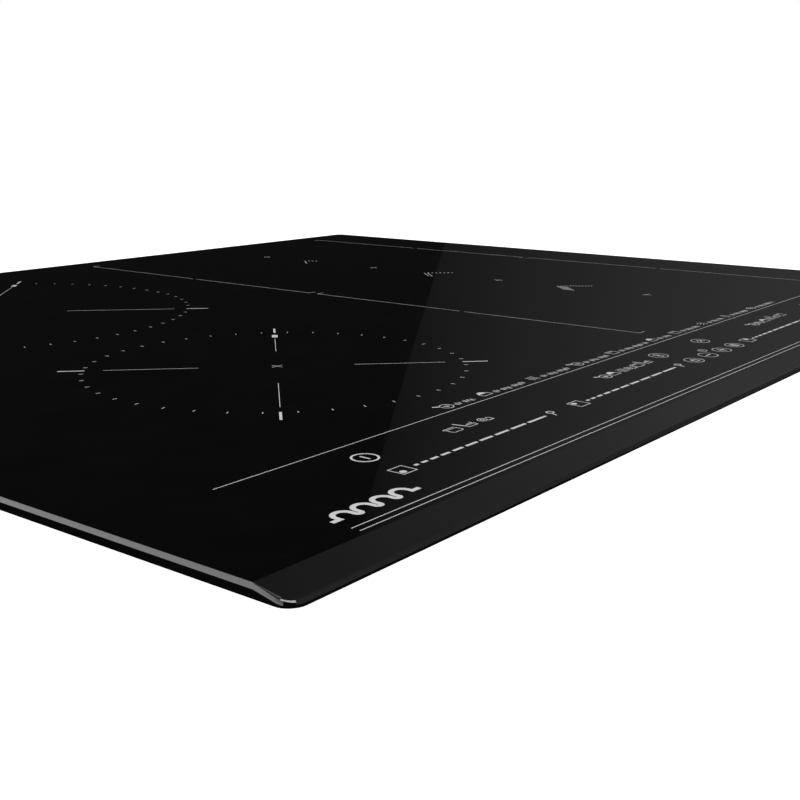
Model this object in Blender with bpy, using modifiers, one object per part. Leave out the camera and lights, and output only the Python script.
"""A built-in induction hob, 600 x 510 mm, as separate pieces at their real size.

Metres, +Z up. X runs to the right along the front edge and Y runs to the back, so the user stands at
-Y, where the glass is bevelled. The origin is the middle of the casing's underside.
"""

import math

import bmesh
import bpy
from mathutils import Matrix, Vector

MM = 0.001
GAP = 0.3 * MM  # kept between neighbouring pieces
CUT_REACH = 2 * MM  # how far a cutter passes the faces that it cuts
SHARP_ANGLE = 35.0  # degrees; gentler edges are shaded smooth

# Driving dimensions
TOTAL_HEIGHT = 55 * MM
GLASS_WIDTH = 600 * MM
GLASS_DEPTH = 510 * MM
GLASS_THICKNESS = 4 * MM
GLASS_CORNER = 4 * MM
BEVEL_WIDTH = 11 * MM  # the sloping strip along the front edge
BEVEL_ANGLE = 15.0  # degrees down from the flat

SEAL_THICKNESS = 2 * MM
SEAL_SIDE = 10 * MM  # width of the tape at the sides
SEAL_FRONT = 5.5 * MM  # and along the front and back
SEAL_INSET_SIDE = 4.6 * MM  # from the glass's edge to the tape
SEAL_INSET_FRONT = 3.5 * MM
SEAL_CORNER = 2 * MM

SHEET = 0.8 * MM
CASING_WIDTH = 548 * MM
CASING_DEPTH = 478 * MM
FLANGE = 4 * MM
SHELF_HEIGHT = 26 * MM  # underside of the step
STEP_SIDE = 26 * MM  # how far the lower tub is set in at the sides
STEP_FRONT = 8 * MM  # and at the front and back
FOLD_RADIUS = 3 * MM

# Heights
GLASS_BOTTOM = TOTAL_HEIGHT - GLASS_THICKNESS
RIM = GLASS_BOTTOM - GAP
PLATE_BOTTOM = 36 * MM
PLATE_SHEET = 1 * MM
FERRITE_HEIGHT = 4 * MM
CARRIER_HEIGHT = 2 * MM
WINDING_HEIGHT = 4.5 * MM
MICA_THICKNESS = 1 * MM
MICA_MARGIN = 3 * MM  # how far a sheet laps past the winding
FERRITE_BOTTOM = PLATE_BOTTOM + PLATE_SHEET + GAP
CARRIER_BOTTOM = FERRITE_BOTTOM + FERRITE_HEIGHT + GAP
WINDING_BOTTOM = CARRIER_BOTTOM + CARRIER_HEIGHT + GAP
MICA_BOTTOM = WINDING_BOTTOM + WINDING_HEIGHT + GAP
TRAY_BOTTOM = SHEET + GAP
TRAY_THICKNESS = 1.5 * MM
TRAY_MARGIN = 4 * MM  # how far the tray laps past the boards
POST_RADIUS = 3 * MM
POST_INSET = 8 * MM
BOARD_BOTTOM = 6.6 * MM
BOARD_THICKNESS = 1.6 * MM
BOARD_TOP = BOARD_BOTTOM + BOARD_THICKNESS

# Coils: name, centre, straight length along X, outer radius and inner radius of the winding.
# A coil with no straight length is round.
ZONE_X = 136.2 * MM
FLEX_X = 135 * MM
FLEX_MIDDLE_Y = 30.5 * MM
FLEX_PITCH = 100 * MM
FLEX_STRAIGHT = 112 * MM
FLEX_RADIUS = 45 * MM
ROUND_COILS = (
    ("front_left", (-ZONE_X, -92.4 * MM), 0, 72 * MM, 20 * MM),
    ("rear_left", (-ZONE_X, 123.4 * MM), 0, 104 * MM, 26 * MM),
)
FLEX_COILS = tuple(
    (f"flex_{i + 1}", (FLEX_X, FLEX_MIDDLE_Y + (i - 1.5) * FLEX_PITCH), FLEX_STRAIGHT, FLEX_RADIUS, 14 * MM)
    for i in range(4)
)
CARRIER_MARGIN = 2.5 * MM
SENSOR_HOLE = 8 * MM
LEAD_RADIUS = 2.2 * MM
MAINS_RADIUS = 2.6 * MM
LEAD_REACH = 10 * MM  # from the winding's edge to where its lead goes down
LEAD_HOLE = 5 * MM
LANDING_INSET = 14 * MM  # how far a lead lands from its board's rear edge
LANDING_OFFSET = 42 * MM  # and from the heat sink's side
STAR_BARS = 8
STAR_BAR_WIDTH = 9 * MM
HUB_WIDTH = 6 * MM
FERRITE_LAP = 2 * MM  # how far the bars run over the hub
FERRITE_INSET = 4 * MM  # how far the bars end inside the winding
LADDER_SIDE_BARS = 2
LADDER_PITCH = 38 * MM
LADDER_BAR_WIDTH = 10 * MM
RAIL_OFFSET = 22 * MM
RAIL_WIDTH = 8 * MM
SENSOR_RADIUS = 4 * MM
SENSOR_FOOT_RADIUS = 7 * MM
SENSOR_FOOT_HEIGHT = 3 * MM

PLATE_WIDTH = 510 * MM
PLATE_FRONT = -174 * MM
PLATE_BACK = 232 * MM

# Electronics and air
SIDES = (("left", -1), ("right", 1))
BOARD_NEAR = 22 * MM  # distance of each board's inner edge from the middle
BOARD_FAR = 232 * MM
BOARD_FRONT = -150 * MM
BOARD_BACK = 112 * MM
AIR_X = 125 * MM  # middle of each fan and heat sink, left and right
SINK_WIDTH = 80 * MM
SINK_HEIGHT = 20 * MM
SINK_FRONT = -104 * MM
SINK_BACK = 108 * MM
SINK_BASE = 4 * MM
SINK_FINS = 9
FIN_THICKNESS = 2 * MM
FAN_Y = 176 * MM
FAN_HEIGHT = 26 * MM
FAN_WALL = 1.6 * MM
SCROLL_WIDE = 52 * MM
SCROLL_TIGHT = 42 * MM
SCROLL_TURN = 240.0  # degrees that the spiral wall turns through
FAN_OUTLET = -56 * MM  # end of the outlet, in front of the fan's axis
INLET_RADIUS = 30 * MM
IMPELLER_RADIUS = 36 * MM
IMPELLER_SHEET = 1.4 * MM
MOTOR_RADIUS = 11 * MM
MOTOR_BOTTOM = 12 * MM
CUP_RADIUS = 11.8 * MM  # inside the impeller's cup, which turns round the motor
CUP_FLOOR = 9 * MM
BLADES = 9
BLADE_LENGTH = 14 * MM
BLADE_THICKNESS = 1.2 * MM
BLADE_MIDDLE = 28.5 * MM
BLADE_LEAN = 35.0
TIE_RING_INNER = 32.5 * MM
TIE_RING_HEIGHT = 1.2 * MM
SLOT_PITCH = 8 * MM
SLOT_WIDTH = 4 * MM
OUTLET_SLOTS = 9
OUTLET_PITCH = 14 * MM
OUTLET_WIDTH = 7 * MM
OUTLET_LOW = 6 * MM
OUTLET_HIGH = 20 * MM

# Touch controls
TOUCH_WIDTH = 480 * MM
TOUCH_DEPTH = 50 * MM
TOUCH_Y = -207 * MM
TOUCH_BOTTOM = 41 * MM
TOUCH_TOP = 48 * MM
TOUCH_WALL = 1.5 * MM
SLOT_MARGIN = 2 * MM  # round the ribbon, in the holder's floor
RIBBON_X = -40 * MM
RIBBON_Y = TOUCH_Y + 8 * MM
RIBBON_WIDTH = 14 * MM

# Mains terminals
TERMINAL_X = 212 * MM
TERMINAL_WIDTH = 50 * MM
TERMINAL_DEPTH = 26 * MM
TERMINAL_TOP = 20 * MM
TERMINAL_SPACE = 5 * MM  # between the block and the rear wall
INLET_HOLE = 6 * MM
TERMINAL_MIDDLE = 13 * MM
TERMINAL_HALF_HEIGHT = 6.5 * MM
COVER_MARGIN = 3 * MM  # how far the cover laps past its opening
COLLAR_RADIUS = 8 * MM

# Clamps
CLAMP_X = 263 * MM
CLAMP_Y = 150 * MM
CLAMP_REACH = 36 * MM
CLAMP_HALF_WIDTH = 8 * MM
CLAMP_SHEET = 2 * MM
CLAMP_BOTTOM = 11.3 * MM
CLAMP_PAD = 18.5 * MM  # top of the pad that presses up on the worktop
SCREW_RADIUS = 2.2 * MM
SCREW_HOLE = 2.6 * MM
SCREW_TOP = 32 * MM
HEAD_RADIUS = 4.5 * MM
HEAD_HEIGHT = 3 * MM


# Scene, materials and shapes


def clear_scene():
    for thing in list(bpy.data.objects):
        bpy.data.objects.remove(thing, do_unlink=True)


def collection(name):
    made = bpy.data.collections.new(name)
    bpy.context.scene.collection.children.link(made)
    return made


def finish(name, color, roughness, metallic=0.0):
    made = bpy.data.materials.new(name)
    made.use_nodes = True
    shader = made.node_tree.nodes["Principled BSDF"]
    shader.inputs["Base Color"].default_value = (*color, 1)
    shader.inputs["Roughness"].default_value = roughness
    shader.inputs["Metallic"].default_value = metallic
    return made


def place(name, mesh, material):
    """A new object of the hob with this mesh."""
    part = bpy.data.objects.new(name, mesh)
    mesh.materials.clear()
    mesh.materials.append(material)
    parts.objects.link(part)
    return part


def from_bmesh(name, bm, material):
    mesh = bpy.data.meshes.new(name)
    bm.to_mesh(mesh)
    bm.free()
    return place(name, mesh, material)


def settled(part):
    """The part with its modifiers applied, its touching points joined and its round stretches smooth."""
    bpy.context.view_layer.update()
    graph = bpy.context.evaluated_depsgraph_get()
    mesh = bpy.data.meshes.new_from_object(part.evaluated_get(graph))
    bm = bmesh.new()
    bm.from_mesh(mesh)
    bmesh.ops.remove_doubles(bm, verts=bm.verts, dist=0.01 * MM)
    bmesh.ops.recalc_face_normals(bm, faces=bm.faces)
    bm.to_mesh(mesh)
    bm.free()
    mesh.shade_smooth()
    mesh.set_sharp_from_angle(angle=math.radians(SHARP_ANGLE))
    name = part.name
    matrix = part.matrix_world.copy()
    material = part.data.materials[0]
    bpy.data.objects.remove(part)
    part = place(name, mesh, material)
    part.matrix_world = matrix
    return part


def copy_of(part, name):
    twin = bpy.data.objects.new(name, part.data)
    twin.matrix_basis = part.matrix_basis
    parts.objects.link(twin)
    return twin


def as_cutter(part):
    parts.objects.unlink(part)
    cutters.objects.link(part)
    part.hide_render = True
    part.display_type = "WIRE"
    return part


def boolean(part, other, operation):
    modifier = part.modifiers.new(operation.title(), "BOOLEAN")
    modifier.operation = operation
    modifier.solver = "EXACT"
    modifier.object = as_cutter(other)
    return part


def cut(part, other):
    return boolean(part, other, "DIFFERENCE")


def join(part, other):
    return boolean(part, other, "UNION")


def add_block(bm, low, high):
    low = Vector(low)
    high = Vector(high)
    matrix = Matrix.Translation((low + high) / 2) @ Matrix.Diagonal((*(high - low), 1))
    return bmesh.ops.create_cube(bm, size=1, matrix=matrix)["verts"]


def add_rod(bm, centre, radius, low, high, segments=16):
    matrix = Matrix.Translation((centre[0], centre[1], (low + high) / 2))
    bmesh.ops.create_cone(
        bm, cap_ends=True, segments=segments, radius1=radius, radius2=radius, depth=high - low, matrix=matrix
    )


def block(name, low, high, material):
    bm = bmesh.new()
    add_block(bm, low, high)
    return from_bmesh(name, bm, material)


def rod(name, centre, radius, low, high, material, segments=16):
    bm = bmesh.new()
    add_rod(bm, centre, radius, low, high, segments)
    return from_bmesh(name, bm, material)


def turned(name, profile, material, steps=24):
    """A profile of (radius, height) points turned about Z; it runs down its outer side."""
    bm = bmesh.new()
    points = [bm.verts.new((radius, 0, height)) for radius, height in profile]
    for a, b in zip(points, points[1:]):
        bm.edges.new((a, b))
    part = from_bmesh(name, bm, material)
    screw = part.modifiers.new("Screw", "SCREW")
    screw.steps = steps
    screw.render_steps = steps
    screw.use_merge_vertices = True
    screw.merge_threshold = 0.01 * MM
    screw.use_smooth_shade = False
    return part


def arc(centre, radius, start, end, steps):
    """Points on an arc, its angles in degrees, both ends included."""
    angles = [math.radians(start + (end - start) * i / steps) for i in range(steps + 1)]
    return [(centre[0] + radius * math.cos(a), centre[1] + radius * math.sin(a)) for a in angles]


def rounded_rectangle(width, depth, radius, centre=(0, 0), steps=4):
    points = []
    for sign_x, sign_y, start in ((1, 1, 0), (-1, 1, 90), (-1, -1, 180), (1, -1, 270)):
        x = centre[0] + sign_x * (width / 2 - radius)
        y = centre[1] + sign_y * (depth / 2 - radius)
        points += arc((x, y), radius, start, start + 90, steps)
    return points


def racetrack(centre, straight, radius, steps=12):
    """Two half circles joined by straights along X; with no straight it is a circle."""
    right = arc((centre[0] + straight / 2, centre[1]), radius, -90, 90, steps)
    left = arc((centre[0] - straight / 2, centre[1]), radius, 90, 270, steps)
    return right + left if straight else right[:-1] + left[:-1]


def outline_solid(name, loops, low, high, material):
    """A flat outline between two heights; the first loop is its edge and the others are holes."""
    curve = bpy.data.curves.new(name, "CURVE")
    curve.dimensions = "2D"
    curve.fill_mode = "BOTH"
    curve.extrude = (high - low) / 2
    curve.materials.append(material)
    for loop in loops:
        spline = curve.splines.new("POLY")
        spline.points.add(len(loop) - 1)
        spline.use_cyclic_u = True
        for point, (x, y) in zip(spline.points, loop):
            point.co = (x, y, 0, 1)
    guide = bpy.data.objects.new(name, curve)
    guide.location.z = (low + high) / 2
    parts.objects.link(guide)
    return settled(guide)


def smooth_route(points, spacing):
    """Points about one spacing apart on a smooth curve through the given ones."""
    points = [Vector(point) for point in points]
    ends = [2 * points[0] - points[1]] + points + [2 * points[-1] - points[-2]]
    route = []
    for a, b, c, d in zip(ends, ends[1:], ends[2:], ends[3:]):
        steps = max(1, round((c - b).length / spacing))
        for i in range(steps):
            t = i / steps
            bend = (2 * a - 5 * b + 4 * c - d) * t * t + (3 * b - a - 3 * c + d) * t**3
            route.append((2 * b + (c - a) * t + bend) / 2)
    return route + [points[-1]]


def tube(name, points, radius, material):
    curve = bpy.data.curves.new(name, "CURVE")
    curve.dimensions = "3D"
    curve.bevel_depth = radius
    curve.bevel_resolution = 2
    curve.use_fill_caps = True
    curve.materials.append(material)
    spline = curve.splines.new("POLY")
    spline.points.add(len(points) - 1)
    for point, place_at in zip(spline.points, points):
        point.co = (*place_at, 1)
    part = bpy.data.objects.new(name, curve)
    parts.objects.link(part)
    return part


def ride_on_empty(name, location, *pieces):
    """An empty at the location, with the pieces built around the origin parented to it."""
    holder = bpy.data.objects.new(name, None)
    holder.location = location
    parts.objects.link(holder)
    for piece in pieces:
        piece.parent = holder
    return holder


# Glass and seal


def make_glass():
    edge = rounded_rectangle(GLASS_WIDTH, GLASS_DEPTH, GLASS_CORNER)
    glass = outline_solid("glass_panel", [edge], GLASS_BOTTOM, TOTAL_HEIGHT, glass_black)
    wedge_low = (-GLASS_WIDTH, -4 * BEVEL_WIDTH, 0)
    wedge = block("bevel_wedge", wedge_low, (GLASS_WIDTH, 0, BEVEL_WIDTH), glass_black)
    hinge_line = Matrix.Translation((0, BEVEL_WIDTH - GLASS_DEPTH / 2, TOTAL_HEIGHT))
    wedge.data.transform(hinge_line @ Matrix.Rotation(math.radians(BEVEL_ANGLE), 4, "X"))
    cut(glass, wedge)


def make_seal():
    width = GLASS_WIDTH - 2 * SEAL_INSET_SIDE
    depth = GLASS_DEPTH - 2 * SEAL_INSET_FRONT
    outer = rounded_rectangle(width, depth, SEAL_CORNER, steps=2)
    inner = rounded_rectangle(width - 2 * SEAL_SIDE, depth - 2 * SEAL_FRONT, SEAL_CORNER, steps=2)
    outline_solid("seal_tape", [outer, inner], RIM - SEAL_THICKNESS, RIM, foam_black)


# Casing


def casing_shell():
    """The folded tub: a floor, a lower wall, a step, an upper wall and a flange."""
    half_width = CASING_WIDTH / 2 - STEP_SIDE
    half_depth = CASING_DEPTH / 2 - STEP_FRONT
    bm = bmesh.new()
    add_block(bm, (-half_width, -half_depth, 0), (half_width, half_depth, SHELF_HEIGHT))
    lid = [face for face in bm.faces if face.normal.z > 0.5]
    bmesh.ops.delete(bm, geom=lid, context="FACES_ONLY")
    upper_wall = RIM - SHEET - SHELF_HEIGHT
    for out_x, out_y, rise in ((STEP_SIDE, STEP_FRONT, 0), (0, 0, upper_wall), (FLANGE, FLANGE, 0)):
        rim = [edge for edge in bm.edges if edge.is_boundary]
        made = bmesh.ops.extrude_edge_only(bm, edges=rim)["geom"]
        for vertex in (item for item in made if isinstance(item, bmesh.types.BMVert)):
            vertex.co.x += math.copysign(out_x, vertex.co.x)
            vertex.co.y += math.copysign(out_y, vertex.co.y)
            vertex.co.z += rise
    bmesh.ops.recalc_face_normals(bm, faces=bm.faces)
    floor = min(bm.faces, key=lambda face: face.calc_center_median().z)
    if floor.normal.z > 0:
        bmesh.ops.reverse_faces(bm, faces=bm.faces)
    return from_bmesh("bottom_casing", bm, galvanised)


def air_inlet_cutter():
    """Parallel slots that fill a circle under each fan."""
    bm = bmesh.new()
    rows = int(INLET_RADIUS / SLOT_PITCH)
    for _, side in SIDES:
        for row in range(-rows, rows + 1):
            half = math.sqrt(INLET_RADIUS**2 - (row * SLOT_PITCH) ** 2)
            x = side * AIR_X
            y = FAN_Y + row * SLOT_PITCH
            add_block(
                bm, (x - half, y - SLOT_WIDTH / 2, -SHEET), (x + half, y + SLOT_WIDTH / 2, 2 * SHEET)
            )
    return from_bmesh("air_inlet_cutter", bm, galvanised)


def air_outlet_cutter():
    """A row of upright slots in the front wall, before each heat sink."""
    bm = bmesh.new()
    wall = -CASING_DEPTH / 2 + STEP_FRONT
    for _, side in SIDES:
        for i in range(OUTLET_SLOTS):
            x = side * AIR_X + (i - (OUTLET_SLOTS - 1) / 2) * OUTLET_PITCH
            add_block(
                bm,
                (x - OUTLET_WIDTH / 2, wall - CUT_REACH, OUTLET_LOW),
                (x + OUTLET_WIDTH / 2, wall + CUT_REACH, OUTLET_HIGH),
            )
    return from_bmesh("air_outlet_cutter", bm, galvanised)


def terminal_opening_cutter():
    wall = CASING_DEPTH / 2 - STEP_FRONT
    half = TERMINAL_WIDTH / 2
    low = (TERMINAL_X - half, wall - CUT_REACH, TERMINAL_MIDDLE - TERMINAL_HALF_HEIGHT)
    high = (TERMINAL_X + half, wall + CUT_REACH, TERMINAL_MIDDLE + TERMINAL_HALF_HEIGHT)
    return block("terminal_opening_cutter", low, high, galvanised)


def screw_hole_cutter():
    bm = bmesh.new()
    for x in (-CLAMP_X, CLAMP_X):
        for y in (-CLAMP_Y, CLAMP_Y):
            add_rod(bm, (x, y), SCREW_HOLE, SHELF_HEIGHT - SHEET, SHELF_HEIGHT + 2 * SHEET)
    return from_bmesh("screw_hole_cutter", bm, galvanised)


def make_casing():
    casing = casing_shell()
    bevel = casing.modifiers.new("Folds", "BEVEL")
    bevel.width = FOLD_RADIUS
    bevel.segments = 2
    bevel.limit_method = "ANGLE"
    bevel.angle_limit = math.radians(60)
    skin = casing.modifiers.new("Sheet", "SOLIDIFY")
    skin.thickness = SHEET
    skin.offset = -1
    for cutter in (air_inlet_cutter(), air_outlet_cutter(), terminal_opening_cutter(), screw_hole_cutter()):
        cut(casing, cutter)


def make_support_plate():
    """The aluminium plate, its side edges folded down onto the casing's step."""
    foot = SHELF_HEIGHT + SHEET + GAP
    top = PLATE_BOTTOM + PLATE_SHEET
    half = PLATE_WIDTH / 2
    bm = bmesh.new()
    matrix = Matrix.Translation((0, (PLATE_FRONT + PLATE_BACK) / 2, top))
    matrix = matrix @ Matrix.Diagonal((PLATE_WIDTH, PLATE_BACK - PLATE_FRONT, 1, 1))
    bmesh.ops.create_grid(bm, x_segments=1, y_segments=1, size=0.5, matrix=matrix)
    for sign in (-1, 1):
        edge = [e for e in bm.edges if all(abs(v.co.x - sign * half) < GAP for v in e.verts)]
        made = bmesh.ops.extrude_edge_only(bm, edges=edge)["geom"]
        for vertex in (item for item in made if isinstance(item, bmesh.types.BMVert)):
            vertex.co.z = foot
    bmesh.ops.recalc_face_normals(bm, faces=bm.faces)
    if max(bm.faces, key=lambda face: face.calc_area()).normal.z < 0:
        bmesh.ops.reverse_faces(bm, faces=bm.faces)
    plate = from_bmesh("coil_support_plate", bm, aluminium)
    skin = plate.modifiers.new("Sheet", "SOLIDIFY")
    skin.thickness = PLATE_SHEET
    skin.offset = -1
    bm = bmesh.new()
    for coil in ROUND_COILS + FLEX_COILS:
        add_rod(bm, lead_drop(coil), LEAD_HOLE, PLATE_BOTTOM - MM, top + MM)
    cut(plate, from_bmesh("lead_hole_cutter", bm, aluminium))


# Coils


def lead_side(coil):
    """Leads leave the left coils at their right edge, and the right coils at their left edge."""
    return 1 if coil[1][0] < 0 else -1


def lead_drop(coil):
    """Where a coil's lead goes down through the support plate."""
    _, centre, straight, outer, _ = coil
    return (centre[0] + lead_side(coil) * (straight / 2 + outer + LEAD_REACH), centre[1])


def ferrite_star(outer, inner):
    """Radial bars on a hub ring, under a round coil."""
    low = FERRITE_BOTTOM
    high = low + FERRITE_HEIGHT
    start = inner - FERRITE_LAP
    end = outer - FERRITE_INSET
    half = STAR_BAR_WIDTH / 2
    hub_loops = [racetrack((0, 0), 0, radius, 10) for radius in (inner, inner - HUB_WIDTH)]
    hub = outline_solid("ferrite", hub_loops, low + MM, high, ferrite_grey)
    bm = bmesh.new()
    for i in range(STAR_BARS):
        made = add_block(bm, (start, -half, low), (end, half, high))
        bmesh.ops.rotate(bm, verts=made, matrix=Matrix.Rotation(2 * math.pi * i / STAR_BARS, 3, "Z"))
    return settled(join(hub, from_bmesh("ferrite_bars", bm, ferrite_grey)))


def ferrite_ladder():
    """Cross bars on two rails, under an oval coil."""
    low = FERRITE_BOTTOM
    high = low + FERRITE_HEIGHT
    reach = FLEX_RADIUS - FERRITE_INSET
    bm = bmesh.new()
    for i in range(-LADDER_SIDE_BARS, LADDER_SIDE_BARS + 1):
        x = i * LADDER_PITCH
        half = reach if abs(i) < LADDER_SIDE_BARS else reach - 10 * MM
        add_block(bm, (x - LADDER_BAR_WIDTH / 2, -half, low), (x + LADDER_BAR_WIDTH / 2, half, high))
    bars = from_bmesh("ferrite", bm, ferrite_grey)
    length = LADDER_SIDE_BARS * LADDER_PITCH + 8 * MM
    bm = bmesh.new()
    for sign in (-1, 1):
        y = sign * RAIL_OFFSET
        add_block(bm, (-length, y - RAIL_WIDTH / 2, low + MM), (length, y + RAIL_WIDTH / 2, high))
    return settled(join(bars, from_bmesh("ferrite_rails", bm, ferrite_grey)))


def temperature_sensor():
    base = WINDING_BOTTOM
    step = base + SENSOR_FOOT_HEIGHT
    profile = (
        (0, RIM),
        (SENSOR_RADIUS, RIM),
        (SENSOR_RADIUS, step),
        (SENSOR_FOOT_RADIUS, step),
        (SENSOR_FOOT_RADIUS, base),
        (0, base),
    )
    return turned("temperature_sensor", profile, plastic_white, 12)


def coil_set(straight, outer, inner):
    """One coil's pieces around the origin: carrier, winding, ferrite and sensor."""
    steps = 16 if straight == 0 else 10
    eye = racetrack((0, 0), 0, 5 * MM, 6)
    carrier_edge = racetrack((0, 0), straight, outer + CARRIER_MARGIN, steps)
    carrier = outline_solid(
        "coil_carrier", [carrier_edge, eye], CARRIER_BOTTOM, CARRIER_BOTTOM + CARRIER_HEIGHT, plastic_black
    )
    winding_loops = [racetrack((0, 0), straight, radius, steps) for radius in (outer, inner)]
    winding = outline_solid(
        "coil_winding", winding_loops, WINDING_BOTTOM, WINDING_BOTTOM + WINDING_HEIGHT, copper
    )
    ferrite = ferrite_ladder() if straight else ferrite_star(outer, inner)
    return [carrier, winding, ferrite, settled(temperature_sensor())]


def name_coil(pieces, coil):
    for piece in pieces:
        piece.name = f"{piece.name.split('.')[0]}_{coil[0]}"
    ride_on_empty(f"coil_{coil[0]}", (*coil[1], 0), *pieces)


def lead_landing(coil):
    """Where a coil's lead meets its board, beside the heat sink."""
    back = min(coil[1][1], BOARD_BACK - LANDING_INSET)
    return (math.copysign(AIR_X - SINK_WIDTH / 2 - LANDING_OFFSET, coil[1][0]), back)


def make_lead(coil):
    side = lead_side(coil)
    drop_x, y = lead_drop(coil)
    edge = drop_x - side * LEAD_REACH
    top = WINDING_BOTTOM + WINDING_HEIGHT / 2
    land_x, land_y = lead_landing(coil)
    route = (
        (edge + side * GAP, y, top),
        (edge + side * 5 * MM, y, top - 0.8 * MM),
        (drop_x, y, 40 * MM),
        (drop_x, y, 33 * MM),
        ((drop_x + land_x) / 2, (y + land_y) / 2, 26 * MM),
        (land_x, land_y, 16 * MM),
        (land_x, land_y, BOARD_TOP + GAP),
    )
    tube(f"coil_lead_{coil[0]}", smooth_route(route, 6 * MM), LEAD_RADIUS, sleeve_white)


def make_coils():
    for coil in ROUND_COILS:
        name_coil(coil_set(*coil[2:]), coil)
    first = coil_set(*FLEX_COILS[0][2:])
    for coil in FLEX_COILS[1:]:
        name_coil([copy_of(piece, piece.name) for piece in first], coil)
    name_coil(first, FLEX_COILS[0])
    for coil in ROUND_COILS + FLEX_COILS:
        make_lead(coil)


def make_insulation():
    """Mica sheets: a disc over each round coil and one sheet over the four oval coils."""
    top = MICA_BOTTOM + MICA_THICKNESS
    for name, centre, _, outer, _ in ROUND_COILS:
        loops = [racetrack(centre, 0, outer + MICA_MARGIN, 14), racetrack(centre, 0, SENSOR_HOLE, 6)]
        outline_solid(f"insulation_sheet_{name}", loops, MICA_BOTTOM, top, mica)
    width = FLEX_STRAIGHT + 2 * (FLEX_RADIUS + MICA_MARGIN)
    corner = 6 * MM
    edge = rounded_rectangle(width, 4 * FLEX_PITCH, corner, (FLEX_X, FLEX_MIDDLE_Y))
    eyes = [racetrack(coil[1], 0, SENSOR_HOLE, 6) for coil in FLEX_COILS]
    outline_solid("insulation_sheet_flex", [edge] + eyes, MICA_BOTTOM, top, mica)


# Electronics and fans


def make_tray():
    """One plastic tray under both boards, with a post under each board's corners."""
    top = TRAY_BOTTOM + TRAY_THICKNESS
    low = (-BOARD_FAR - TRAY_MARGIN, BOARD_FRONT - 2 * TRAY_MARGIN, TRAY_BOTTOM)
    high = (BOARD_FAR + TRAY_MARGIN, BOARD_BACK + TRAY_MARGIN, top)
    tray = block("board_tray", low, high, plastic_white)
    near = BOARD_NEAR + POST_INSET
    far = BOARD_FAR - POST_INSET
    bm = bmesh.new()
    for x in (-far, -near, near, far):
        for y in (BOARD_FRONT + POST_INSET, BOARD_BACK - POST_INSET):
            add_rod(bm, (x, y), POST_RADIUS, TRAY_BOTTOM + MM, BOARD_BOTTOM - GAP, 10)
    join(tray, from_bmesh("tray_posts", bm, plastic_white))


def make_board(side_name, side):
    near = side * BOARD_NEAR
    far = side * BOARD_FAR
    low = (min(near, far), BOARD_FRONT, BOARD_BOTTOM)
    high = (max(near, far), BOARD_BACK, BOARD_TOP)
    block(f"power_board_{side_name}", low, high, board_green)


def make_heat_sink(side_name, side):
    """An extruded comb: a base with upright fins, cut to length along Y."""
    pitch = (SINK_WIDTH - FIN_THICKNESS) / (SINK_FINS - 1)
    outline = [(SINK_WIDTH / 2, 0), (-SINK_WIDTH / 2, 0)]
    for i in range(SINK_FINS):
        left = -SINK_WIDTH / 2 + i * pitch
        right = left + FIN_THICKNESS
        foot = 0 if i == 0 else SINK_BASE
        after = 0 if i == SINK_FINS - 1 else SINK_BASE
        outline += [(left, foot), (left, SINK_HEIGHT), (right, SINK_HEIGHT), (right, after)]
    outline = outline[:1] + outline[1:2] + outline[3:-1]
    length = SINK_BACK - SINK_FRONT
    sink = outline_solid(f"heat_sink_{side_name}", [outline], -length / 2, length / 2, aluminium)
    sink.rotation_euler.x = math.radians(90)
    sink.location = (side * AIR_X, (SINK_FRONT + SINK_BACK) / 2, BOARD_TOP + GAP)


def scroll(side, grow, end):
    """A blower's outline: a spiral wall that opens into an outlet towards the front."""
    steps = 18
    points = []
    for i in range(steps + 1):
        turn = math.radians(180 - SCROLL_TURN * i / steps)
        radius = SCROLL_WIDE + (SCROLL_TIGHT - SCROLL_WIDE) * i / steps + grow
        points.append((-side * radius * math.cos(turn), radius * math.sin(turn)))
    return points + [(-side * (SCROLL_TIGHT / 2 + grow), end), (side * (SCROLL_WIDE + grow), end)]


def make_fan_housing(side):
    low = TRAY_BOTTOM
    high = low + FAN_HEIGHT
    housing = outline_solid("fan_housing", [scroll(side, FAN_WALL, FAN_OUTLET)], low, high, plastic_black)
    chamber = [scroll(side, 0, FAN_OUTLET - 5 * MM)]
    cut(housing, outline_solid("fan_chamber", chamber, low + FAN_WALL, high - FAN_WALL, plastic_black))
    cut(housing, rod("fan_eye", (0, 0), INLET_RADIUS, low - CUT_REACH, low + CUT_REACH, plastic_black, 32))
    return join(housing, rod("fan_motor", (0, 0), MOTOR_RADIUS, MOTOR_BOTTOM, high - MM, plastic_black, 20))


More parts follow.
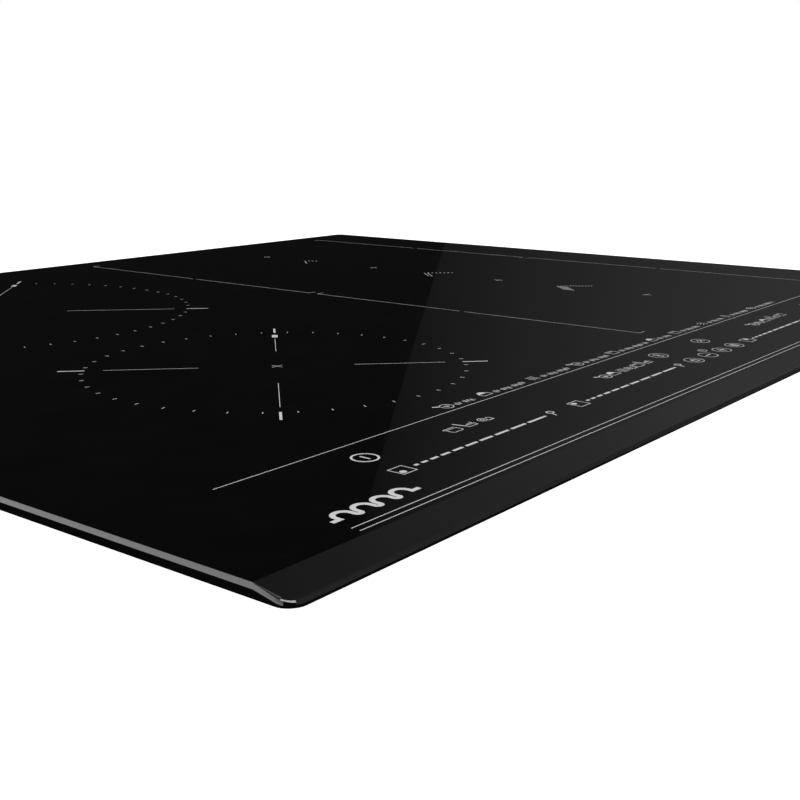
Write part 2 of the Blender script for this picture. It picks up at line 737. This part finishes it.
def make_impeller():
    """A cup over the motor, a back plate, upright blades and a ring that ties their tips."""
    roof = TRAY_BOTTOM + FAN_HEIGHT - FAN_WALL - MM
    cup_outer = CUP_RADIUS + FAN_WALL
    profile = (
        (0, CUP_FLOOR + IMPELLER_SHEET),
        (CUP_RADIUS, CUP_FLOOR + IMPELLER_SHEET),
        (CUP_RADIUS, roof),
        (IMPELLER_RADIUS, roof),
        (IMPELLER_RADIUS, roof - IMPELLER_SHEET),
        (cup_outer, roof - IMPELLER_SHEET),
        (cup_outer, CUP_FLOOR),
        (0, CUP_FLOOR),
    )
    impeller = turned("fan_impeller", profile, plastic_grey, 30)
    ring_low = TRAY_BOTTOM + FAN_WALL + MM
    ring_high = ring_low + TIE_RING_HEIGHT
    blade_low = (-BLADE_LENGTH / 2, -BLADE_THICKNESS / 2, ring_high - 0.8 * MM)
    blade_high = (BLADE_LENGTH / 2, BLADE_THICKNESS / 2, roof - IMPELLER_SHEET / 2)
    lean = Matrix.Translation((BLADE_MIDDLE, 0, 0)) @ Matrix.Rotation(math.radians(BLADE_LEAN), 4, "Z")
    bm = bmesh.new()
    for i in range(BLADES):
        made = add_block(bm, blade_low, blade_high)
        around = Matrix.Rotation(2 * math.pi * i / BLADES, 4, "Z")
        bmesh.ops.transform(bm, verts=made, matrix=around @ lean)
    join(impeller, from_bmesh("fan_blades", bm, plastic_grey))
    ring_loops = [racetrack((0, 0), 0, radius, 15) for radius in (IMPELLER_RADIUS, TIE_RING_INNER)]
    return join(impeller, outline_solid("fan_ring", ring_loops, ring_low, ring_high, plastic_grey))


def make_fans():
    impeller = settled(make_impeller())
    for side_name, side in SIDES:
        housing = settled(make_fan_housing(side))
        spinner = impeller if side < 0 else copy_of(impeller, "spinner")
        housing.name = f"fan_housing_{side_name}"
        spinner.name = f"fan_impeller_{side_name}"
        ride_on_empty(f"fan_{side_name}", (side * AIR_X, FAN_Y, 0), housing, spinner)


# Touch controls and mains terminals


def make_touch_controls():
    half_width = TOUCH_WIDTH / 2
    front = TOUCH_Y - TOUCH_DEPTH / 2
    back = TOUCH_Y + TOUCH_DEPTH / 2
    holder = block(
        "touch_holder", (-half_width, front, TOUCH_BOTTOM), (half_width, back, TOUCH_TOP), plastic_black
    )
    inner_low = (-half_width + TOUCH_WALL, front + TOUCH_WALL, TOUCH_BOTTOM + TOUCH_WALL)
    inner_high = (half_width - TOUCH_WALL, back - TOUCH_WALL, TOUCH_TOP + CUT_REACH)
    cut(holder, block("touch_hollow", inner_low, inner_high, plastic_black))
    slot_x = RIBBON_WIDTH / 2 + SLOT_MARGIN
    slot_y = SLOT_MARGIN + MM
    slot_low = (RIBBON_X - slot_x, RIBBON_Y - slot_y, TOUCH_BOTTOM - CUT_REACH)
    slot_high = (RIBBON_X + slot_x, RIBBON_Y + slot_y, TOUCH_BOTTOM + TOUCH_WALL + CUT_REACH)
    cut(holder, block("ribbon_slot", slot_low, slot_high, plastic_black))
    board_low = (-half_width + MM, front + MM, TOUCH_TOP + GAP)
    board_high = (half_width - MM, back - MM, TOUCH_TOP + GAP + BOARD_THICKNESS)
    block("touch_board", board_low, board_high, board_green)


def make_ribbon():
    """The flat cable from the touch board down to the left power board."""
    route = smooth_route(
        (
            (RIBBON_X, RIBBON_Y, TOUCH_TOP - 0.1 * MM),
            (RIBBON_X, RIBBON_Y, 40 * MM),
            (RIBBON_X, RIBBON_Y + 8 * MM, 28 * MM),
            (RIBBON_X, RIBBON_Y + 34 * MM, 15 * MM),
            (RIBBON_X, BOARD_FRONT + 10 * MM, BOARD_TOP + 1.4 * MM),
            (RIBBON_X, BOARD_FRONT + 22 * MM, BOARD_TOP + 1.2 * MM),
        ),
        8 * MM,
    )
    bm = bmesh.new()
    row = None
    for point in route:
        last = row
        row = [bm.verts.new((point.x + sign * RIBBON_WIDTH / 2, point.y, point.z)) for sign in (-1, 1)]
        if last:
            bm.faces.new((last[0], last[1], row[1], row[0]))
    ribbon = from_bmesh("ribbon_cable", bm, ribbon_grey)
    skin = ribbon.modifiers.new("Thickness", "SOLIDIFY")
    skin.thickness = MM
    skin.offset = 0
    settled(ribbon)


def make_terminals():
    half = TERMINAL_WIDTH / 2
    inner_wall = CASING_DEPTH / 2 - STEP_FRONT - SHEET
    front = inner_wall - TERMINAL_DEPTH
    block(
        "terminal_block",
        (TERMINAL_X - half + 2 * MM, front, TRAY_BOTTOM),
        (TERMINAL_X + half - 2 * MM, inner_wall - TERMINAL_SPACE, TERMINAL_TOP),
        plastic_white,
    )
    outer_wall = inner_wall + SHEET
    cover_half = half + COVER_MARGIN
    cover_rise = TERMINAL_HALF_HEIGHT + COVER_MARGIN
    cover_low = (TERMINAL_X - cover_half, outer_wall + GAP, TERMINAL_MIDDLE - cover_rise)
    cover_high = (TERMINAL_X + cover_half, outer_wall + 2 * MM, TERMINAL_MIDDLE + cover_rise)
    cover = block("terminal_cover", cover_low, cover_high, plastic_black)
    lying = Matrix.Translation((TERMINAL_X, 0, TERMINAL_MIDDLE)) @ Matrix.Rotation(math.radians(-90), 4, "X")
    collar_end = outer_wall + 6 * MM
    collar = rod("inlet_collar", (0, 0), COLLAR_RADIUS, outer_wall + MM, collar_end, plastic_black, 24)
    collar.data.transform(lying)
    join(cover, collar)
    hole_ends = (outer_wall - CUT_REACH, collar_end + CUT_REACH)
    hole = rod("inlet_hole", (0, 0), INLET_HOLE, *hole_ends, plastic_black, 24)
    hole.data.transform(lying)
    settled(cut(cover, hole))
    lead = (
        (TERMINAL_X, front - GAP, 12 * MM),
        (TERMINAL_X, front - 8 * MM, 12.4 * MM),
        (TERMINAL_X - MM, front - 40 * MM, 14 * MM),
        (TERMINAL_X - 3 * MM, BOARD_BACK + 6 * MM, 19 * MM),
        (TERMINAL_X - 5 * MM, BOARD_BACK - 12 * MM, 15 * MM),
        (TERMINAL_X - 5 * MM, BOARD_BACK - 12 * MM, BOARD_TOP + 2 * GAP),
    )
    tube("mains_lead", smooth_route(lead, 8 * MM), MAINS_RADIUS, sleeve_white)


# Clamps


def clamp_strip():
    """A cranked steel strip along +Y: low at the screw, high at its pad."""
    low = CLAMP_BOTTOM
    pad = CLAMP_PAD - CLAMP_SHEET
    side_view = [
        (-CLAMP_HALF_WIDTH, low),
        (14 * MM, low),
        (20 * MM, pad),
        (CLAMP_REACH, pad),
        (CLAMP_REACH, CLAMP_PAD),
        (19 * MM, CLAMP_PAD),
        (13 * MM, low + CLAMP_SHEET),
        (-CLAMP_HALF_WIDTH, low + CLAMP_SHEET),
    ]
    strip = outline_solid("clamp", [side_view], -CLAMP_HALF_WIDTH, CLAMP_HALF_WIDTH, zinc_plated)
    quarter = math.radians(90)
    strip.data.transform(Matrix.Rotation(quarter, 4, "Z") @ Matrix.Rotation(quarter, 4, "X"))
    hole_ends = (low - CUT_REACH, low + CLAMP_SHEET + CUT_REACH)
    return settled(cut(strip, rod("clamp_hole", (0, 0), SCREW_HOLE, *hole_ends, zinc_plated)))


def clamp_screw():
    head = CLAMP_BOTTOM - GAP
    profile = (
        (0, SCREW_TOP),
        (SCREW_RADIUS, SCREW_TOP),
        (SCREW_RADIUS, head),
        (HEAD_RADIUS, head),
        (HEAD_RADIUS, head - HEAD_HEIGHT + MM),
        (HEAD_RADIUS - MM, head - HEAD_HEIGHT),
        (0, head - HEAD_HEIGHT),
    )
    return settled(turned("clamp_screw", profile, zinc_plated, 14))


def make_clamps():
    """Four clamps on their screws, folded in under the casing's step."""
    clamp = clamp_strip()
    screw = clamp_screw()
    for row, y in (("front", -CLAMP_Y), ("rear", CLAMP_Y)):
        for side_name, side in SIDES:
            arm = copy_of(clamp, f"clamp_{row}_{side_name}")
            arm.location = (side * CLAMP_X, y, 0)
            arm.rotation_euler.z = 0 if y < 0 else math.pi
            bolt = copy_of(screw, f"clamp_screw_{row}_{side_name}")
            bolt.location = (side * CLAMP_X, y, 0)
    for pattern in (clamp, screw):
        bpy.data.objects.remove(pattern)


clear_scene()
parts = collection("induction_hob")
cutters = collection("cutters")
glass_black = finish("glass_black", (0.004, 0.004, 0.005), 0.06)
foam_black = finish("foam_black", (0.012, 0.012, 0.013), 0.9)
galvanised = finish("galvanised", (0.55, 0.56, 0.57), 0.42, 1.0)
aluminium = finish("aluminium", (0.8, 0.8, 0.81), 0.35, 1.0)
zinc_plated = finish("zinc_plated", (0.68, 0.68, 0.66), 0.3, 1.0)
copper = finish("copper", (0.72, 0.33, 0.16), 0.35, 1.0)
ferrite_grey = finish("ferrite_grey", (0.06, 0.06, 0.065), 0.55)
mica = finish("mica", (0.62, 0.55, 0.42), 0.5)
plastic_black = finish("plastic_black", (0.02, 0.02, 0.02), 0.5)
plastic_white = finish("plastic_white", (0.75, 0.74, 0.7), 0.5)
plastic_grey = finish("plastic_grey", (0.3, 0.31, 0.32), 0.5)
sleeve_white = finish("sleeve_white", (0.7, 0.69, 0.64), 0.8)
ribbon_grey = finish("ribbon_grey", (0.45, 0.46, 0.48), 0.5)
board_green = finish("board_green", (0.03, 0.16, 0.06), 0.4)

make_glass()
make_seal()
make_casing()
make_support_plate()
make_coils()
make_insulation()
make_tray()
for board_side, board_sign in SIDES:
    make_board(board_side, board_sign)
    make_heat_sink(board_side, board_sign)
make_fans()
make_touch_controls()
make_ribbon()
make_terminals()
make_clamps()
